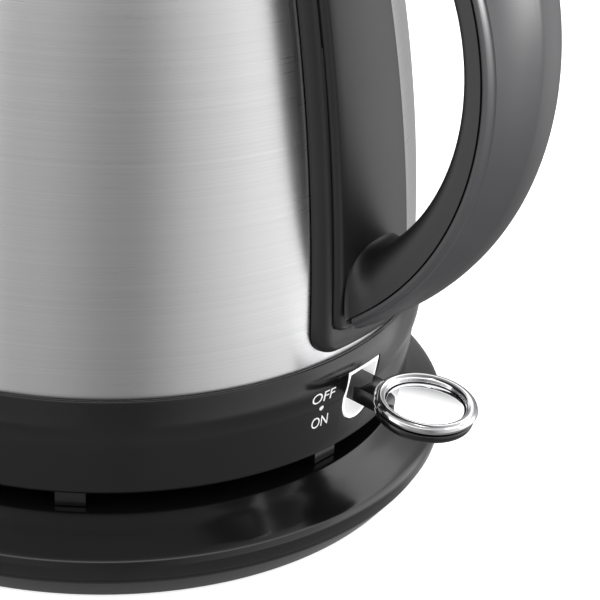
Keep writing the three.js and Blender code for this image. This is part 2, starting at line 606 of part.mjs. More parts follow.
function addHandle() {
  const topTrim = revolve([[0, collarLow - touch], [collarOuter + 2 * touch, collarLow - touch],
    [collarOuter + 2 * touch, collarTop + overrun], [0, collarTop + overrun]]);
  const levels = [spineSpan.low + handleScrew.rise, collarLow - handleScrew.fromCollar];
  const bores = levels.map((height) => rodAlongX(handleScrew.shank + touch, bodyRadius(height) + touch,
    bodyRadius(height) + spine.proud + overrun, height));

  const backing = bodySkin(stripSpan.low - 1, stripSpan.high + 1, touch, strip.proud)
    .intersect(panelPrism(stripSpan, strip.halfAngle, strip.corner));
  const pocketSpan = { low: spineSpan.low - touch, high: spineSpan.high + touch };
  const pocket = bodySkin(spineSpan.low - 2, spineSpan.high + 2, strip.floor, spine.proud + overrun)
    .intersect(panelPrism(pocketSpan, spine.halfAngle + touch, spine.corner));
  addPiece('handle_plate', cutAll(backing, [pocket, ...bores]), material.satinPlastic);

  const panel = bodySkin(spineSpan.low - 1, spineSpan.high + 1, strip.floor + touch, spine.proud)
    .intersect(panelPrism(spineSpan, spine.halfAngle, spine.corner));
  // a head seats on the panel where the sloping wall stands furthest out
  const faces = levels.map((height) => bodyRadius(height - handleScrew.head) + spine.proud + touch);
  const headRooms = levels.map((height, i) => rodAlongX(handleScrew.head + touch, faces[i],
    faces[i] + handleScrew.headDepth + touch, height));
  const springRoom = disc(spring.radius + spring.wire + touch, buttonLow - spring.length - touch, buttonLow)
    .translate([buttonX, 0, 0]);
  const loopTools = [bodyEnvelope(spine.proud - ease.fine), topTrim, springRoom, ...headRooms];
  const loop = cutAll(sweepGrip(innerSection), loopTools);
  addPiece('handle_inner_shell', cutAll(panel.add(loop), bores), material.satinPlastic);

  const halfLength = button.length / 2 + slip;
  const buttonHole = box(buttonX - halfLength, buttonX + halfLength, -button.half - slip, button.half + slip,
    buttonLow, collarTop + overrun);
  const boltEnd = neck + latch.tail;
  const boltRoom = box(boltEnd - overrun, boltEnd + latch.travel + slip, -latch.half - slip,
    latch.half + slip,
    latchSpan.low - slip, latchSpan.high + slip);
  const cutters = [bodyEnvelope(spine.proud + touch), topTrim, buttonHole, boltRoom];
  const cover = cutAll(sweepGrip(coverSection), cutters);
  addPiece('handle_outer_cover', cover, material.satinPlastic);

  ['handle_screw_lower', 'handle_screw_upper'].forEach((name, i) => {
    const solid = joinAll([
      rodAlongX(handleScrew.head, faces[i], faces[i] + handleScrew.headDepth, levels[i]),
      rodAlongX(handleScrew.shank, bodyRadius(levels[i]) + 2 * touch, faces[i] + ease.wide, levels[i]),
    ]);
    addPiece(name, solid, material.springSteel);
  });
}

// ---- top collar, lid and release ----
const earHalf = hinge.half + slip + hinge.ear;
const knuckleRoot = hingeX - hinge.reach - ease.wide;

function addCollar() {
  const outer = neck + collar.outer;
  const channel = neck - collar.channelIn;
  const shell = revolve([
    [mouth, collarTop - ease.wide], [mouth + ease.wide, collarTop],
    [outer - 2 * ease.wide, collarTop], [outer - 0.4, collarTop - 1],
    [outer, collarTop - 3], [collarOuter, collarLow + 2 * ease.wide], [collarOuter - ease.fine, collarLow],
    ...bodyRise(collarLow, body.top + touch, touch, 4), [channel, body.top + touch],
    [channel, body.top - collar.innerBelow], [mouth, body.top - collar.innerBelow],
  ]);
  const ears = box(hingeX - hinge.reach, hingeX + hinge.reach, -earHalf, earHalf, collarTop - hinge.root,
    hingeZ + hinge.earRise);
  const swing = hinge.reach + ease.wide;
  const knuckleRoom = box(knuckleRoot - slip, hingeX + hinge.reach + overrun, -hinge.half - slip,
    hinge.half + slip, hingeZ - swing, hingeZ + swing);
  const bore = rodAlongY(hinge.bore, earHalf + overrun, hingeX, hingeZ);
  const guide = box(mouth - overrun, collarOuter + overrun, -latch.half - slip, latch.half + slip,
    latchSpan.low - slip, latchSpan.high + slip);
  addPiece('top_collar', cutAll(shell.add(ears), [knuckleRoom, bore, guide]), material.glossPlastic);
  addPiece('lid_pin', rodAlongY(hinge.pin, earHalf - touch, hingeX, hingeZ), material.springSteel);
}

function addLid() {
  const low = collarTop + touch;
  const flange = collarTop + lid.gap;
  const brim = low + lid.edge;
  const radius = neck - lid.rimIn;
  const sphere = (radius ** 2 + lid.rise ** 2) / (2 * lid.rise);
  const domeHeight = (reach, drop) => brim + lid.rise - sphere - drop + Math.sqrt(sphere ** 2 - reach ** 2);
  const dome = (reach, drop) => spread(4).map((t) => [t * reach, domeHeight(t * reach, drop)]);
  const inner = radius - lid.wall;
  const shell = revolve([...dome(radius - 0.6, 0), [radius, brim - 0.2], [radius - 0.4, low],
    [inner, low], ...dome(inner - 0.4, lid.wall).reverse()]);
  const earRoom = box(hingeX - hinge.reach - hinge.swing, radius + overrun, -earHalf - slip, earHalf + slip,
    low - overrun, low + 3 * overrun);
  const knuckle = joinAll([
    box(knuckleRoot, hingeX + hinge.root, -hinge.half, hinge.half, low, hingeZ + hinge.arm),
    box(knuckleRoot - hinge.root, knuckleRoot + hinge.root, -hinge.half, hinge.half, flange + lid.panWall,
      hingeZ + hinge.arm),
  ]);
  const bore = rodAlongY(hinge.bore, hinge.half + overrun, hingeX, hingeZ);
  addPiece('lid_cover', shell.subtract(earRoom).add(knuckle).subtract(bore), material.glossPlastic);

  const floor = flange - lid.panDepth;
  const wallTop = mouth - lid.panGap;
  const floorEdge = wallTop - lid.panTaper;
  const slope = lid.panTaper / 2;
  const pan = revolve([
    [0, floor], [floorEdge, floor], [floorEdge + slope, floor + 1.2], [wallTop, flange - 0.4],
    [inner - 0.7, flange], [inner - 0.7, flange + 0.5], [wallTop - lid.panWall, flange + 0.8],
    [wallTop - lid.panWall - slope, floor + 2.2], [floorEdge - 1, floor + lid.panWall],
    [0, floor + lid.panWall],
  ]);
  const knuckleSpace = box(knuckleRoot - touch, radius, -earHalf - slip, earHalf + slip, floor, hingeZ);
  addPiece('lid_pan', pan.subtract(knuckleSpace), material.innerSteel);

  const wallAt = (height) => wallTop - (slope * (flange - 0.4 - height)) / (lid.panDepth - 1.6);
  const [sealLow, sealHigh] = [collarTop - seal.low, collarTop - seal.high];
  const sealOut = mouth - seal.gap;
  addPiece('lid_seal', revolve([
    [wallAt(sealLow) + touch, sealLow], [sealOut - touch, sealLow], [sealOut, (sealLow + sealHigh) / 2],
    [sealOut - touch, sealHigh], [wallAt(sealHigh) + touch, sealHigh],
  ]), material.silicone);
}

function addRelease() {
  addPiece('lid_latch', box(mouth - latch.nose, neck + latch.tail, -latch.half, latch.half, latchSpan.low,
    latchSpan.high), material.darkPlastic);
  const [x0, x1] = [buttonX - button.length / 2, buttonX + button.length / 2];
  const top = body.top + button.above;
  const cap = joinAll([
    prismAlongZ(roundedBox(x0, x1, -button.half, button.half, button.round + ease.fine), buttonLow,
      top - button.dome),
    prismAlongZ(roundedBox(x0 + ease.wide, x1 - ease.wide, ease.wide - button.half,
      button.half - ease.wide, button.round), buttonLow, top),
  ]);
  addPiece('release_button', cap, material.glossPlastic);

  const springHigh = buttonLow - touch - spring.wire;
  const springLow = springHigh - spring.length + 2 * spring.wire;
  const coil = new THREE.CatmullRomCurve3(spread(spring.turns * 8).map((t) => {
    const angle = 360 * spring.turns * t;
    return new THREE.Vector3(buttonX + spring.radius * cosine(angle), spring.radius * sine(angle),
      springLow + t * (springHigh - springLow));
  }));
  const wire = arc(0, 0, spring.wire, 0, 288, 4);
  addPiece('button_spring', sweepAlong(coil, wire, spring.turns * 10), material.springSteel);
}

// ---- spout and filter ----
function spoutSection(t, shrink, raise) {
  const [low, high] = [body.top - spout.below, collarTop - spout.drop];
  const height = low + t * (high - low);
  const root = bodyRadius(height) - overrun;
  const grown = t ** 0.8 * (neck + spout.reach - bodyRadius(high) + 2);
  const reach = bodyRadius(height) - 2 + grown - shrink;
  const half = spout.halfLow + t * (spout.halfHigh - spout.halfLow) - shrink;
  const tip = spout.tip - shrink / 2;
  const nose = arc(-(reach - tip), 0, tip, 120, 240, 6);
  return [[-root + 14, half], [-root, half], ...nose, [-root, -half], [-root + 14, -half]]
    .map(([x, y]) => new THREE.Vector3(x, y, height + (t === 1 ? raise : 0)));
}

function addSpout() {
  const wedge = (shrink, raise) => {
    const rings = spread(spout.levels).map((t) => spoutSection(t, shrink, raise));
    return closeLoft(rings, rings[0].map((point) => [point.x, point.y]));
  };
  const collarRoom = disc(collarOuter + 2 * touch, collarLow - touch, collarTop + overrun, rounds.large);
  const shell = cutAll(wedge(0, 0), [wedge(spout.wall, overrun), bodyEnvelope(touch), collarRoom]);
  addPiece('spout', shell, material.steel);

  const [windowLow, windowHigh] = [body.top - port.below, body.top - port.above];
  const [low, high] = [windowLow - filter.margin, windowHigh + filter.margin];
  const face = -body.wall - filter.inset + touch;
  const sheet = bodySkin(low, high, face - filter.thick, face)
    .intersect(box(-body.radius, -neck / 2, -filter.half, filter.half, low - 1, high + 1));
  const pitch = (2 * port.half) / filter.slots;
  const slots = Array.from({ length: filter.slots }, (_, i) => {
    const y = -port.half + (i + 0.5) * pitch;
    return box(-body.radius, -neck / 2, y - filter.slotWidth / 2, y + filter.slotWidth / 2,
      windowLow + filter.slotWidth, windowHigh - filter.slotWidth);
  });
  addPiece('spout_filter', cutAll(sheet, slots), material.satinPlastic);
}

addBase();
addLowerHousing();
addUnderside();
addElectrics();
addVessel();
addSwitch();
addHandle();
addCollar();
addLid();
addRelease();
addSpout();

export default kettle;
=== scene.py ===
import math

import bmesh
import bpy
from mathutils import Matrix, Vector


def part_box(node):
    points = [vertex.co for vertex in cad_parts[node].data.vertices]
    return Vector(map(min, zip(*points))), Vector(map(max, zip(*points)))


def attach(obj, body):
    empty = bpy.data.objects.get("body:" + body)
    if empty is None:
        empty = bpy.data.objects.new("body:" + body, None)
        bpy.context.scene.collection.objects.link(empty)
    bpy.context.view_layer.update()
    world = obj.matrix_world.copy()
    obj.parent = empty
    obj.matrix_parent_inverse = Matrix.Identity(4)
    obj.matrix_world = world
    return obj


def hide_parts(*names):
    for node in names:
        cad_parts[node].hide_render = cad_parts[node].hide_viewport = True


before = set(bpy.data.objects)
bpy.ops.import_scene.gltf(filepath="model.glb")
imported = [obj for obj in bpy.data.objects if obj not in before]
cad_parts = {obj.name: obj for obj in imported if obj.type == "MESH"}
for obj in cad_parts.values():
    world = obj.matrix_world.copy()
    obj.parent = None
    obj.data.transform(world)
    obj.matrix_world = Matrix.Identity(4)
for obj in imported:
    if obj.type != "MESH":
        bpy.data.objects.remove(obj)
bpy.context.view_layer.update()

scene = bpy.context.scene
mm = 0.001  # every piece is drawn in millimetres and scaled once at the end
turnSteps = 192


# Shared shader groups.
def newGroup(name, inputs, outputs):
    group = bpy.data.node_groups.new(name, "ShaderNodeTree")
    for label, kind, value in inputs:
        socket = group.interface.new_socket(label, in_out="INPUT", socket_type=kind)
        socket.default_value = value
    for label, kind in outputs:
        group.interface.new_socket(label, in_out="OUTPUT", socket_type=kind)
    return group, group.nodes.new("NodeGroupInput"), group.nodes.new("NodeGroupOutput")


def addNode(tree, kind, values=None, **settings):
    node = tree.nodes.new(kind)
    for key, value in settings.items():
        setattr(node, key, value)
    for key, value in (values or {}).items():
        node.inputs[key].default_value = value
    return node


def addRange(tree, source, low, high):
    node = addNode(tree, "ShaderNodeMapRange", {"To Min": low, "To Max": high})
    tree.links.new(source, node.inputs["Value"])
    return node


# Fine level lines left by the polishing belt, some long and some short.
brushed, groupIn, groupOut = newGroup(
    "brushedLines",
    [("Vector", "NodeSocketVector", (0, 0, 0))],
    [("Line", "NodeSocketFloat"), ("Streak", "NodeSocketFloat")])
links = brushed.links
stretch = addNode(brushed, "ShaderNodeMapping", {"Scale": (9, 9, 5200)})
links.new(groupIn.outputs["Vector"], stretch.inputs["Vector"])
fine = addNode(brushed, "ShaderNodeTexNoise", {"Scale": 1.0, "Detail": 2.0, "Roughness": 0.6})
links.new(stretch.outputs["Vector"], fine.inputs["Vector"])
wide = addNode(brushed, "ShaderNodeMapping", {"Scale": (30, 30, 2300)})
links.new(groupIn.outputs["Vector"], wide.inputs["Vector"])
coarse = addNode(brushed, "ShaderNodeTexNoise", {"Scale": 1.0, "Detail": 3.0, "Roughness": 0.7})
links.new(wide.outputs["Vector"], coarse.inputs["Vector"])
lineRange = addNode(brushed, "ShaderNodeMapRange", {"From Min": 0.3, "From Max": 0.7})
links.new(fine.outputs["Fac"], lineRange.inputs["Value"])
links.new(lineRange.outputs["Result"], groupOut.inputs["Line"])
streakRange = addNode(brushed, "ShaderNodeMapRange", {"From Min": 0.3, "From Max": 0.7})
links.new(coarse.outputs["Fac"], streakRange.inputs["Value"])
links.new(streakRange.outputs["Result"], groupOut.inputs["Streak"])

# A light moulding grain with slow cloudy patches, for the plastics.
grain, groupIn, groupOut = newGroup(
    "mouldGrain",
    [("Vector", "NodeSocketVector", (0, 0, 0)), ("Size", "NodeSocketFloat", 2500.0),
     ("Patch", "NodeSocketFloat", 60.0)],
    [("Height", "NodeSocketFloat"), ("Cloud", "NodeSocketFloat")])
links = grain.links
pores = addNode(grain, "ShaderNodeTexNoise", {"Detail": 3.0, "Roughness": 0.6})
links.new(groupIn.outputs["Vector"], pores.inputs["Vector"])
links.new(groupIn.outputs["Size"], pores.inputs["Scale"])
links.new(pores.outputs["Fac"], groupOut.inputs["Height"])
clouds = addNode(grain, "ShaderNodeTexNoise", {"Detail": 4.0, "Roughness": 0.55})
links.new(groupIn.outputs["Vector"], clouds.inputs["Vector"])
links.new(groupIn.outputs["Patch"], clouds.inputs["Scale"])
links.new(clouds.outputs["Fac"], groupOut.inputs["Cloud"])


# Materials.
def newMaterial(name, color, roughness, metallic=0.0, **shader):
    material = bpy.data.materials.new(name)
    material.use_nodes = True
    tree = material.node_tree
    skin = tree.nodes["Principled BSDF"]
    skin.inputs["Base Color"].default_value = (*color, 1)
    skin.inputs["Roughness"].default_value = roughness
    skin.inputs["Metallic"].default_value = metallic
    for key, value in shader.items():
        skin.inputs[key].default_value = value
    return material, tree, skin


def mixColors(tree, mask, dark, light):
    mix = addNode(tree, "ShaderNodeMix", data_type="RGBA")
    mix.inputs["A"].default_value = (*dark, 1)
    mix.inputs["B"].default_value = (*light, 1)
    tree.links.new(mask, mix.inputs["Factor"])
    return mix.outputs["Result"]


def addBump(tree, skin, height, strength, distance):
    bump = addNode(tree, "ShaderNodeBump", {"Strength": strength, "Distance": distance})
    tree.links.new(height, bump.inputs["Height"])
    tree.links.new(bump.outputs["Normal"], skin.inputs["Normal"])


def brushedMetal(name, dark, light, rough, bumpHeight, **shader):
    material, tree, skin = newMaterial(name, light, rough[0], 1.0, **shader)
    place = addNode(tree, "ShaderNodeTexCoord")
    lines = addNode(tree, "ShaderNodeGroup", node_tree=brushed)
    tree.links.new(place.outputs["Object"], lines.inputs["Vector"])
    tree.links.new(mixColors(tree, lines.outputs["Line"], dark, light), skin.inputs["Base Color"])
    spread = addRange(tree, lines.outputs["Streak"], *rough)
    tree.links.new(spread.outputs["Result"], skin.inputs["Roughness"])
    addBump(tree, skin, lines.outputs["Line"], 0.35, bumpHeight)
    return material


def mouldedPlastic(name, color, rough, bumpHeight, lift=1.25, **shader):
    material, tree, skin = newMaterial(name, color, rough[0], **shader)
    place = addNode(tree, "ShaderNodeTexCoord")
    mould = addNode(tree, "ShaderNodeGroup", node_tree=grain)
    tree.links.new(place.outputs["Object"], mould.inputs["Vector"])
    lighter = tuple(min(part * lift, 1) for part in color)
    tree.links.new(mixColors(tree, mould.outputs["Cloud"], color, lighter), skin.inputs["Base Color"])
    spread = addRange(tree, mould.outputs["Cloud"], *rough)
    tree.links.new(spread.outputs["Result"], skin.inputs["Roughness"])
    addBump(tree, skin, mould.outputs["Height"], 0.25, bumpHeight)
    return material


finishes = {
    "brushedSteel": brushedMetal("brushedSteel", (0.685, 0.685, 0.69), (0.755, 0.755, 0.76), (0.27, 0.31),
                                 0.000001, **{"Anisotropic": 0.7, "Anisotropic Rotation": 0.25}),
    "innerSteel": brushedMetal("innerSteel", (0.5, 0.5, 0.5), (0.62, 0.62, 0.62), (0.28, 0.4), 0.00003),
    "glossPlastic": mouldedPlastic("glossPlastic", (0.0042, 0.0042, 0.0045), (0.12, 0.2), 0.000004),
    "satinPlastic": mouldedPlastic("satinPlastic", (0.008, 0.008, 0.0086), (0.38, 0.46), 0.00002),
    "darkPlastic": mouldedPlastic("darkPlastic", (0.006, 0.006, 0.0065), (0.4, 0.5), 0.00003),
    # the liner's emission is painted light: a glow that brightens the inside of the switch slot. The near-white
    # base colour is the plastic's own.
    "linerPlasticPaintedGlow": mouldedPlastic("linerPlasticPaintedGlow", (0.86, 0.86, 0.87), (0.35, 0.45), 0.00001, lift=1.05,
                                   **{"Emission Color": (1, 1, 1, 1), "Emission Strength": 0.42}),
    "chrome": brushedMetal("chrome", (0.62, 0.62, 0.63), (0.66, 0.66, 0.67), (0.04, 0.07), 0.000001),
    "mirror": brushedMetal("mirror", (0.9, 0.9, 0.91), (0.92, 0.92, 0.93), (0.02, 0.04), 0.0000005),
    "rubber": mouldedPlastic("rubber", (0.012, 0.012, 0.012), (0.6, 0.75), 0.00004),
    "silicone": mouldedPlastic("silicone", (0.35, 0.35, 0.36), (0.45, 0.6), 0.00002),
    "aluminium": brushedMetal("aluminium", (0.55, 0.55, 0.56), (0.66, 0.66, 0.67), (0.4, 0.5), 0.00003),
    "brass": brushedMetal("brass", (0.55, 0.4, 0.18), (0.66, 0.5, 0.24), (0.22, 0.32), 0.00001),
    "springSteel": brushedMetal("springSteel", (0.4, 0.4, 0.42), (0.52, 0.52, 0.54), (0.2, 0.3), 0.00001),
    "whiteInk": mouldedPlastic("whiteInk", (0.78, 0.78, 0.78), (0.4, 0.5), 0.000004, lift=1.05),
}
print("finishes made")


# Making pieces.
def finishPiece(bm, name, finish, body, replaced=(), sharpAngle=38):
    bmesh.ops.remove_doubles(bm, verts=bm.verts, dist=0.001)
    bmesh.ops.scale(bm, vec=(mm, mm, mm), verts=bm.verts)
    bmesh.ops.recalc_face_normals(bm, faces=bm.faces)
    mesh = bpy.data.meshes.new(name)
    bm.to_mesh(mesh)
    bm.free()
    mesh.shade_smooth()
    mesh.set_sharp_from_angle(angle=math.radians(sharpAngle))
    piece = bpy.data.objects.new(name, mesh)
    scene.collection.objects.link(piece)
    mesh.materials.append(finishes[finish])
    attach(piece, body)
    if replaced:
        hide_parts(*replaced)


def drawOutline(bm, points):
    # points are (x, z, corner): corners are rounded before anything is spun or pulled from them
    verts = [bm.verts.new((x, 0, z)) for x, z, _ in points]
    for first, second in zip(verts, verts[1:] + verts[:1]):
        bm.edges.new((first, second))
    for size in sorted({corner for _, _, corner in points if corner > 0}):
        chosen = [vert for vert, point in zip(verts, points) if point[2] == size]
        bmesh.ops.bevel(bm, geom=chosen, offset=size, offset_type="OFFSET", segments=4, profile=0.5,
                        affect="VERTICES", material=-1)


def lathe(points, steps=None):
    bm = bmesh.new()
    drawOutline(bm, points)
    bmesh.ops.spin(bm, geom=bm.verts[:] + bm.edges[:], cent=(0, 0, 0), axis=(0, 0, 1),
                   angle=math.tau, steps=steps or turnSteps, use_merge=True)
    bmesh.ops.remove_doubles(bm, verts=bm.verts, dist=0.001)
    return bm


def roundedSlab(low, high, edge, segments=3):
    # a block between two corners, with every edge rounded
    bm = bmesh.new()
    bmesh.ops.create_cube(bm, size=1)
    size = [b - a for a, b in zip(low, high)]
    middle = [(a + b) / 2 for a, b in zip(low, high)]
    bmesh.ops.scale(bm, vec=size, verts=bm.verts)
    bmesh.ops.translate(bm, vec=middle, verts=bm.verts)
    bmesh.ops.bevel(bm, geom=bm.edges[:], offset=edge, offset_type="OFFSET", segments=segments, profile=0.5,
                    affect="EDGES", material=-1)
    return bm


def joinMeshes(*parts):
    whole = parts[0]
    for part in parts[1:]:
        mesh = bpy.data.meshes.new("joining")
        part.to_mesh(mesh)
        part.free()
        whole.from_mesh(mesh)
        bpy.data.meshes.remove(mesh)
    return whole


def loft(rings):
    # rings are equal lists of points; each loop is pulled from the one before it
    bm = bmesh.new()
    ring = bmesh.ops.create_circle(bm, cap_ends=False, segments=len(rings[0]), radius=1)["verts"]
    edges = bm.edges[:]
    for vert, point in zip(ring, rings[0]):
        vert.co = point
    for points in rings[1:]:
        pulled = bmesh.ops.extrude_edge_only(bm, edges=edges)["geom"]
        made = {tuple(item.co): item for item in pulled if isinstance(item, bmesh.types.BMVert)}
        ring = [made[tuple(vert.co)] for vert in ring]
        kept = set(ring)
        edges = [item for item in pulled
                 if isinstance(item, bmesh.types.BMEdge) and kept.issuperset(item.verts)]
        for vert, point in zip(ring, points):
            vert.co = point
    bmesh.ops.holes_fill(bm, edges=bm.edges[:], sides=0)
    return bm


def cutAway(bm, tool):
    # takes the tool's volume out of the piece
    holders = []
    for part in (bm, tool):
        mesh = bpy.data.meshes.new("cutting")
        bmesh.ops.recalc_face_normals(part, faces=part.faces)
        part.to_mesh(mesh)
        part.free()
        holder = bpy.data.objects.new("cutting", mesh)
        scene.collection.objects.link(holder)
        holders.append(holder)
    cut = holders[0].modifiers.new("cut", "BOOLEAN")
    cut.operation = "DIFFERENCE"
    cut.solver = "EXACT"
    cut.object = holders[1]
    bpy.context.view_layer.update()
    ready = holders[0].evaluated_get(bpy.context.evaluated_depsgraph_get())
    result = bmesh.new()
    result.from_mesh(ready.to_mesh())
    ready.to_mesh_clear()
    for holder in holders:
        mesh = holder.data
        bpy.data.objects.remove(holder)
        bpy.data.meshes.remove(mesh)
    return result


# The body's long curve.
shape = {"radius": 76, "curve": 390, "shoulder": 50, "top": 196, "wall": 0.8, "low": 47.2}


def bodyRadius(height):
    rise = max(height - shape["shoulder"], 0)
    return shape["radius"] - (shape["curve"] - math.sqrt(shape["curve"] ** 2 - rise ** 2))


def levels(low, high, count):
    return [low + (high - low) * i / count for i in range(count + 1)]


def addVessel():
    heights = [shape["low"]] + levels(shape["shoulder"], shape["top"], 36)
    outside = [(bodyRadius(z), z, 0) for z in heights]
    inside = [(bodyRadius(z) - shape["wall"], z, 0) for z in reversed(heights)]
    bm = lathe(outside + inside)
    bm = cutAway(bm, roundedSlab((-90, -13, 160), (-30, 13, 186), 2))
    finishPiece(bm, "steelBody", "brushedSteel", "kettle", ["steel_body"])


# The black ring under the steel.
ringShape = {"slotHalf": 6.45, "slotLow": 30.3, "slotTop": 45.3}
ringWall = [(26, 75.8), (38.5, 76.9), (40.6, 77.6), (43.4, 78.15), (46.2, 78.1)]


def ringRadius(height):
    for (z0, r0), (z1, r1) in zip(ringWall, ringWall[1:]):
        if height <= z1:
            return r0 + (r1 - r0) * max(height - z0, 0) / (z1 - z0)
    return ringWall[-1][1]


def slotOutline(x, half, centre, top):
    bend = [math.radians(180 + 180 * i / 24) for i in range(25)]
    row = [(x, half * math.cos(a), centre + half * math.sin(a)) for a in bend]
    return row + [(x, half, top), (x, -half, top)]


def addRing():
    points = [(73, 25.1, 0.2), (74.7, 25.1, 0.5), (75.8, 26, 0.3), (76.9, 38.5, 0.6), (77.6, 40.6, 1.2),
              (78.15, 43.4, 1.6), (78.1, 46.2, 1.5), (77.6, 48.5, 0.9), (76.95, 50, 0.3), (76.3, 49.9, 0.12),
              (76.3, 45.6, 0), (73, 45.6, 0.2)]
    bm = lathe(points)
    half, low, top = ringShape["slotHalf"], ringShape["slotLow"], ringShape["slotTop"]
    tool = loft([slotOutline(x, half, low + half, top) for x in (60, 90)])
    bm = cutAway(bm, tool)
    finishPiece(bm, "lowerRing", "glossPlastic", "kettle", ["lower_housing"], sharpAngle=45)


# Power base.
def addBase():
    points = [(18.8, 20.2, 0.3), (74.6, 20.2, 0.4), (77.8, 18.0, 1.2), (84.2, 14.6, 1.0), (85.3, 13.7, 0.5),
              (85.6, 12.4, 0.5), (84.9, 8.9, 0.15), (82.6, 8.9, 0), (82.6, 12, 0), (77.5, 15.8, 0),
              (73, 18, 0), (18.8, 18, 0)]
    cover = lathe(points)
    notch = ((-8.3, 75.3, 2.9), (8.3, 90, 10.4))
    cover = cutAway(cover, roundedSlab(*notch, 0.2))
    finishPiece(cover, "baseTopCover", "glossPlastic", "base", ["base_top_cover"])
    tray = lathe([(0, 0.8, 0), (78.6, 0.8, 0.3), (79.3, 1.4, 0.4), (84.2, 7.6, 0.6), (84.3, 8.6, 0.1),
                  (82.4, 8.6, 0), (77, 3, 0), (0, 3, 0)])
    tray = cutAway(tray, roundedSlab(*notch, 0.2))
    finishPiece(tray, "baseTray", "glossPlastic", "base", ["base_bottom_cover"])


print("helpers ready")


# Switch.
switchPlace = {"pivot": (56, 0, 41.3), "tilt": 6.5, "reach": 38.8}


def placeOnLever(bm):
    turn = Matrix.Rotation(math.radians(switchPlace["tilt"]), 3, "Y")
    bmesh.ops.rotate(bm, cent=(0, 0, 0), matrix=turn, verts=bm.verts)
    bmesh.ops.translate(bm, vec=switchPlace["pivot"], verts=bm.verts)
    return bm


def shiftOut(bm):
    bmesh.ops.translate(bm, vec=(switchPlace["reach"], 0, 0), verts=bm.verts)
    return bm


def addSwitch():
    bar = roundedSlab((-8, -3.9, -2.1), (34, 3.9, 2.1), 0.45)
    paddle = lathe([(0, -0.7, 0), (8.6, -0.7, 0.5), (10.9, 0.1, 0.8), (11.65, 1.1, 0.7), (11.5, 2.3, 0.4),
                    (0, 2.3, 0)], 96)
    finishPiece(placeOnLever(joinMeshes(bar, shiftOut(paddle))), "switchLever", "glossPlastic", "switch",
                ["switch_lever"])
    ring = lathe([(9.35, 2.7, 0.1), (11.3, 2.7, 0.3), (12.15, 3.2, 0.6), (12.2, 4.3, 0.8), (11.3, 5.1, 0.8),
                  (10.2, 5.05, 0.5), (9.5, 4.5, 0.3), (9.35, 3.9, 0.1)], 128)
    finishPiece(placeOnLever(shiftOut(ring)), "switchRing", "chrome", "switch", ["switch_ring"], 60)
    inset = lathe([(0, 3.1, 0), (9.05, 3.1, 0.1), (9.05, 3.6, 0.12), (0, 3.6, 0)], 96)
    finishPiece(placeOnLever(shiftOut(inset)), "switchInset", "mirror", "switch", ["switch_inset"])


def addLiner():
    half, centre, top = 6.15, 36.75, 45
    wall, back, front = 0.9, 66, 75.9

    def outline(x, inset):
        return slotOutline(x, half - inset, centre, top - inset)

    bm = loft([outline(back, 0), outline(front - 0.2, 0), outline(front, 0.15), outline(front, wall - 0.15),
               outline(front - 0.2, wall), outline(back + wall, wall)])
    # the rim follows the outside of the ring
    for vert in bm.verts:
        if vert.co.x > front - 0.5:
            reach = math.sqrt(ringRadius(vert.co.z) ** 2 - vert.co.y ** 2) - 0.15
            vert.co.x += reach - front
    finishPiece(bm, "switchLiner", "linerPlasticPaintedGlow", "kettle", ["switch_liner"])


def addLabel(text, height, angle, width, tall):
    curve = bpy.data.curves.new("label" + text, "FONT")
    curve.body = text
    curve.extrude = 0.02
    curve.resolution_u = 6
    holder = bpy.data.objects.new("labelHolder", curve)
    scene.collection.objects.link(holder)
    bpy.context.view_layer.update()
    mesh = bpy.data.meshes.new_from_object(holder)
    bpy.data.objects.remove(holder)
    bm = bmesh.new()
    bm.from_mesh(mesh)
    bpy.data.meshes.remove(mesh)
    sides = [[vert.co[axis] for vert in bm.verts] for axis in (0, 1)]
    middle = [(min(side) + max(side)) / 2 for side in sides]
    span = [max(side) - min(side) for side in sides]
    bmesh.ops.translate(bm, vec=(-middle[0], -middle[1], 0), verts=bm.verts)
    bmesh.ops.scale(bm, vec=(width / span[0], tall / span[1], 1), verts=bm.verts)
    wrapLabel(bm, height, angle)
    finishPiece(bm, "label" + text.capitalize(), "whiteInk", "kettle")


def wrapLabel(bm, height, angle):
    # the flat print is bent round the ring
    for vert in bm.verts:
        x, y, out = vert.co
        z = height + y
        radius = ringRadius(z)
        turn = math.radians(angle) + x / radius
        vert.co = Vector((math.cos(turn), math.sin(turn), 0)) * (radius + 0.03 + out) + Vector((0, 0, z))


def addLabels():
    addLabel("OFF", 42.1, -10.6, 7.1, 2.85)
    addLabel("ON", 34.9, -10.4, 5.2, 2.85)
    dot = bmesh.new()
    bmesh.ops.create_circle(dot, cap_ends=True, segments=24, radius=0.65)
    pulled = bmesh.ops.extrude_face_region(dot, geom=dot.faces[:], use_keep_orig=True)["geom"]
    lifted = [item for item in pulled if isinstance(item, bmesh.types.BMVert)]
    bmesh.ops.translate(dot, vec=(0, 0, 0.02), verts=lifted)
    wrapLabel(dot, 38.6, -10.4)
    finishPiece(dot, "labelDot", "whiteInk", "kettle")


# The panel on the steel.
strip = {"angle": 12.7, "low": 52.6, "high": 187.6, "corner": 5.5, "proud": 3.4, "under": 0.3, "edge": 2.2}
spine = {"angle": 10.3, "low": 58.6, "high": 185, "corner": 3, "proud": 4.7, "under": 1.8, "edge": 1.6}
pocket = {"gap": 0.3, "floor": 1.5}
flatColumns = 6  # columns of faces between a panel's rounded edge and its middle


def panelHalf(height, panel):
    return (bodyRadius(height) + strip["proud"]) * math.sin(math.radians(panel["angle"]))


def edgeDistance(y, height, panel):
    # how far a point lies inside the panel's outline, with its rounded lower corners
    side = panelHalf(height, panel) - abs(y)
    foot = height - panel["low"]
    corner = panel["corner"]
    if side < corner and foot < corner:
        return corner - math.hypot(corner - side, corner - foot)
    return min(side, foot, panel["high"] - height)


def crowned(distance, edge):
    share = min(max(distance, 0) / edge, 1)
    return math.sqrt(1 - (1 - share) ** 2)


def rowWidth(height, panel):
    foot = height - panel["low"]
    corner = panel["corner"]
    cut = corner - math.sqrt(max(corner ** 2 - max(corner - foot, 0) ** 2, 0))
    return panelHalf(height, panel) - cut


